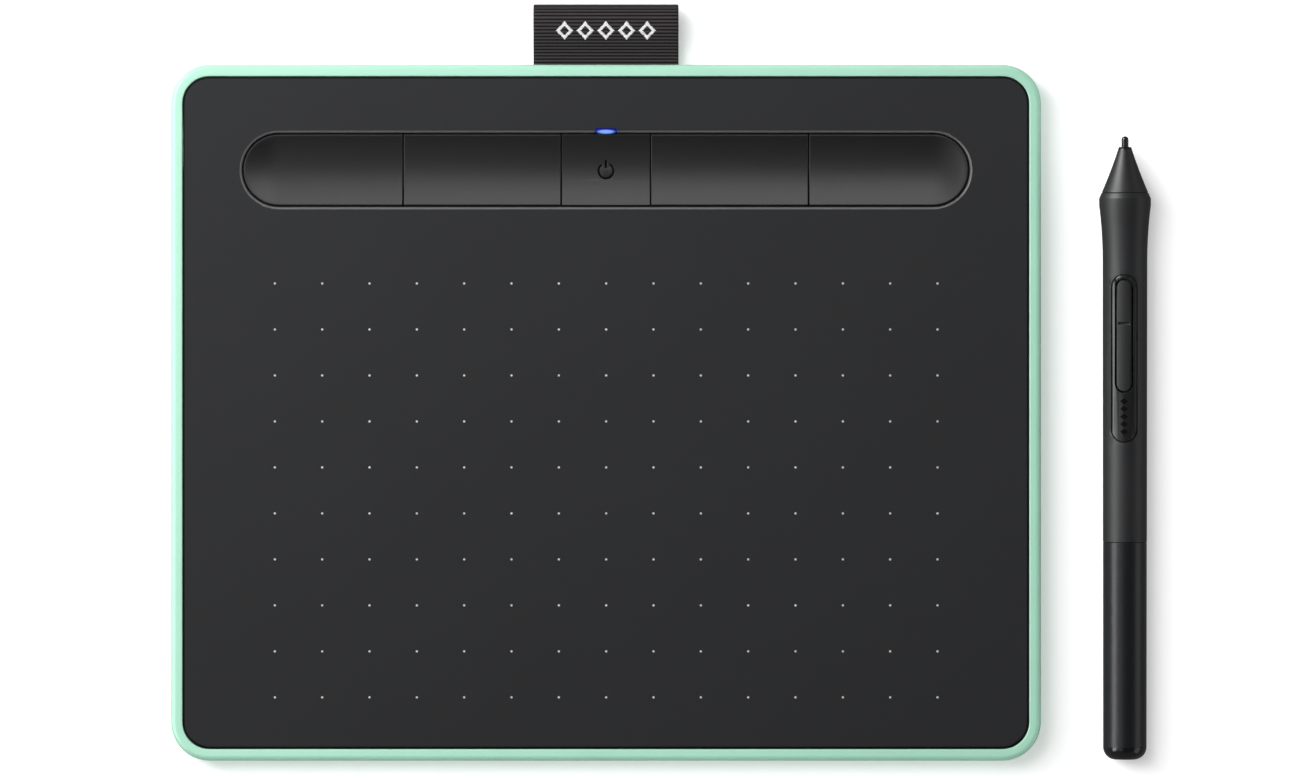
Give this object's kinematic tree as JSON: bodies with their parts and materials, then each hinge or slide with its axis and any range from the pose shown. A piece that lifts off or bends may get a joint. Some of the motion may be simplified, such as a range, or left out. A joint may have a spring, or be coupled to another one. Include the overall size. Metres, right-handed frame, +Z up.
{
  "type": "pen drawing tablet",
  "caption": "Slim drawing tablet with a mint rim, a dished row of express keys, a power button, a fabric pen loop and a battery-free pen with a side switch.",
  "frame": {"origin": "point on the desk under the middle of the tablet's case", "axes": "+X to the right, +Y towards the back edge with the keys and the pen loop, +Z up from the desk; the pen lies to the right with its tip towards +Y"},
  "size_m": [0.2254, 0.174, 0.0119],
  "materials": {
    "mint_shell": "smooth satin moulded plastic, mint green",
    "black_panel": "very fine matte texture, charcoal",
    "key_plastic": "fine matte texture, warm black",
    "foot_rubber": "matte rubber",
    "screw_steel": "zinc plated",
    "inner_plastic": "plain moulded",
    "circuit_board": "solder mask",
    "chip_plastic": "moulded package",
    "led_lens": "clear",
    "light_pipe": "clear, lit blue",
    "adhesive_film": "film",
    "shield_steel": "plain sheet",
    "ribbon_film": "film",
    "socket_steel": "plated",
    "battery_foil": "foil pouch",
    "foam_pad": "foam",
    "woven_ribbon": "ribbed woven ribbon",
    "pen_plastic": "fine matte texture",
    "pen_trim_plastic": "semi-gloss",
    "pen_rear_plastic": "slightly glossier, fine grain",
    "pen_end_plastic": "glossy",
    "nib_plastic": "dense smooth plastic",
    "ferrite": "sintered",
    "coil_copper": "enamelled wire"
  },
  "bodies": {
    "tablet": {"bottom_cover": "mint_shell", "top_cover": "black_panel", "foot_front_left": "foot_rubber", "foot_front_right": "foot_rubber", "foot_rear_left": "foot_rubber", "foot_rear_right": "foot_rubber", "case_screws": "screw_steel", "inner_screws": "screw_steel", "key_chassis": "inner_plastic", "key_board": "circuit_board", "status_led": "led_lens", "status_light_pipe": "light_pipe", "sensor_adhesive": "adhesive_film", "sensor_board": "circuit_board", "shield_plate": "shield_steel", "main_board": "circuit_board", "main_board_chips": "chip_plastic", "sensor_ribbon": "ribbon_film", "key_ribbon": "ribbon_film", "usb_socket": "socket_steel", "usb_tongue": "chip_plastic", "battery_cell": "battery_foil", "battery_pad": "foam_pad", "pen_loop": "woven_ribbon", "loop_anchor": "inner_plastic", "key_switch_1": "chip_plastic", "key_switch_2": "chip_plastic", "key_switch_3": "chip_plastic", "key_switch_4": "chip_plastic", "key_switch_5": "chip_plastic"},
    "express_key_1": {"express_key_1": "key_plastic", "key_plunger_1": "inner_plastic"},
    "express_key_2": {"express_key_2": "key_plastic", "key_plunger_2": "inner_plastic"},
    "power_button": {"power_button": "key_plastic", "key_plunger_3": "inner_plastic"},
    "express_key_3": {"express_key_3": "key_plastic", "key_plunger_4": "inner_plastic"},
    "express_key_4": {"express_key_4": "key_plastic", "key_plunger_5": "inner_plastic"},
    "pen": {"nose_cone": "pen_plastic", "front_barrel": "pen_plastic", "switch_bezel": "pen_trim_plastic", "switch_pin": "pen_trim_plastic", "switch_domes": "screw_steel", "ferrite_core": "ferrite", "sensing_coil": "coil_copper", "pressure_sensor": "inner_plastic", "sensor_cushion": "foam_pad", "pen_chassis": "inner_plastic", "pen_board": "circuit_board", "nib_holder": "inner_plastic", "spare_nibs": "nib_plastic"},
    "nib": {"nib": "nib_plastic", "nib_chuck": "screw_steel"},
    "side_switch": {"side_switch": "pen_plastic"},
    "rear_barrel": {"rear_barrel": "pen_rear_plastic", "barrel_end": "pen_end_plastic"}
  },
  "joints": [
    {"name": "express_key_1_press", "type": "slide", "parent": "tablet", "child": "express_key_1", "axis": [0, 0, -1], "range_m": [0, 0.0004], "stiffness_N_per_m": 3000, "springref_m": -0.0001},
    {"name": "express_key_2_press", "type": "slide", "parent": "tablet", "child": "express_key_2", "axis": [0, 0, -1], "range_m": [0, 0.0004], "stiffness_N_per_m": 3000, "springref_m": -0.0001},
    {"name": "power_button_press", "type": "slide", "parent": "tablet", "child": "power_button", "axis": [0, 0, -1], "range_m": [0, 0.0004], "stiffness_N_per_m": 3000, "springref_m": -0.0001},
    {"name": "express_key_3_press", "type": "slide", "parent": "tablet", "child": "express_key_3", "axis": [0, 0, -1], "range_m": [0, 0.0004], "stiffness_N_per_m": 3000, "springref_m": -0.0001},
    {"name": "express_key_4_press", "type": "slide", "parent": "tablet", "child": "express_key_4", "axis": [0, 0, -1], "range_m": [0, 0.0004], "stiffness_N_per_m": 3000, "springref_m": -0.0001},
    {"name": "pen_lift", "type": "slide", "parent": "tablet", "child": "pen", "axis": [0, 0, 1], "range_m": [0, 0.1]},
    {"name": "nib_press", "type": "slide", "parent": "pen", "child": "nib", "axis": [0, -1, -0.0077], "range_m": [0, 0.0005], "stiffness_N_per_m": 1500, "springref_m": -0.0001},
    {"name": "side_switch_rock", "type": "hinge", "parent": "pen", "child": "side_switch", "pos_m": [0.11913, 0.01768, 0.00882], "axis": [0.9962, -0.0007, 0.0872], "range_deg": [-1.5, 1.5], "stiffness_Nm_per_rad": 0.3},
    {"name": "rear_barrel_pull", "type": "slide", "parent": "pen", "child": "rear_barrel", "axis": [0, -1, -0.0077], "range_m": [0, 0.05]}
  ]
}
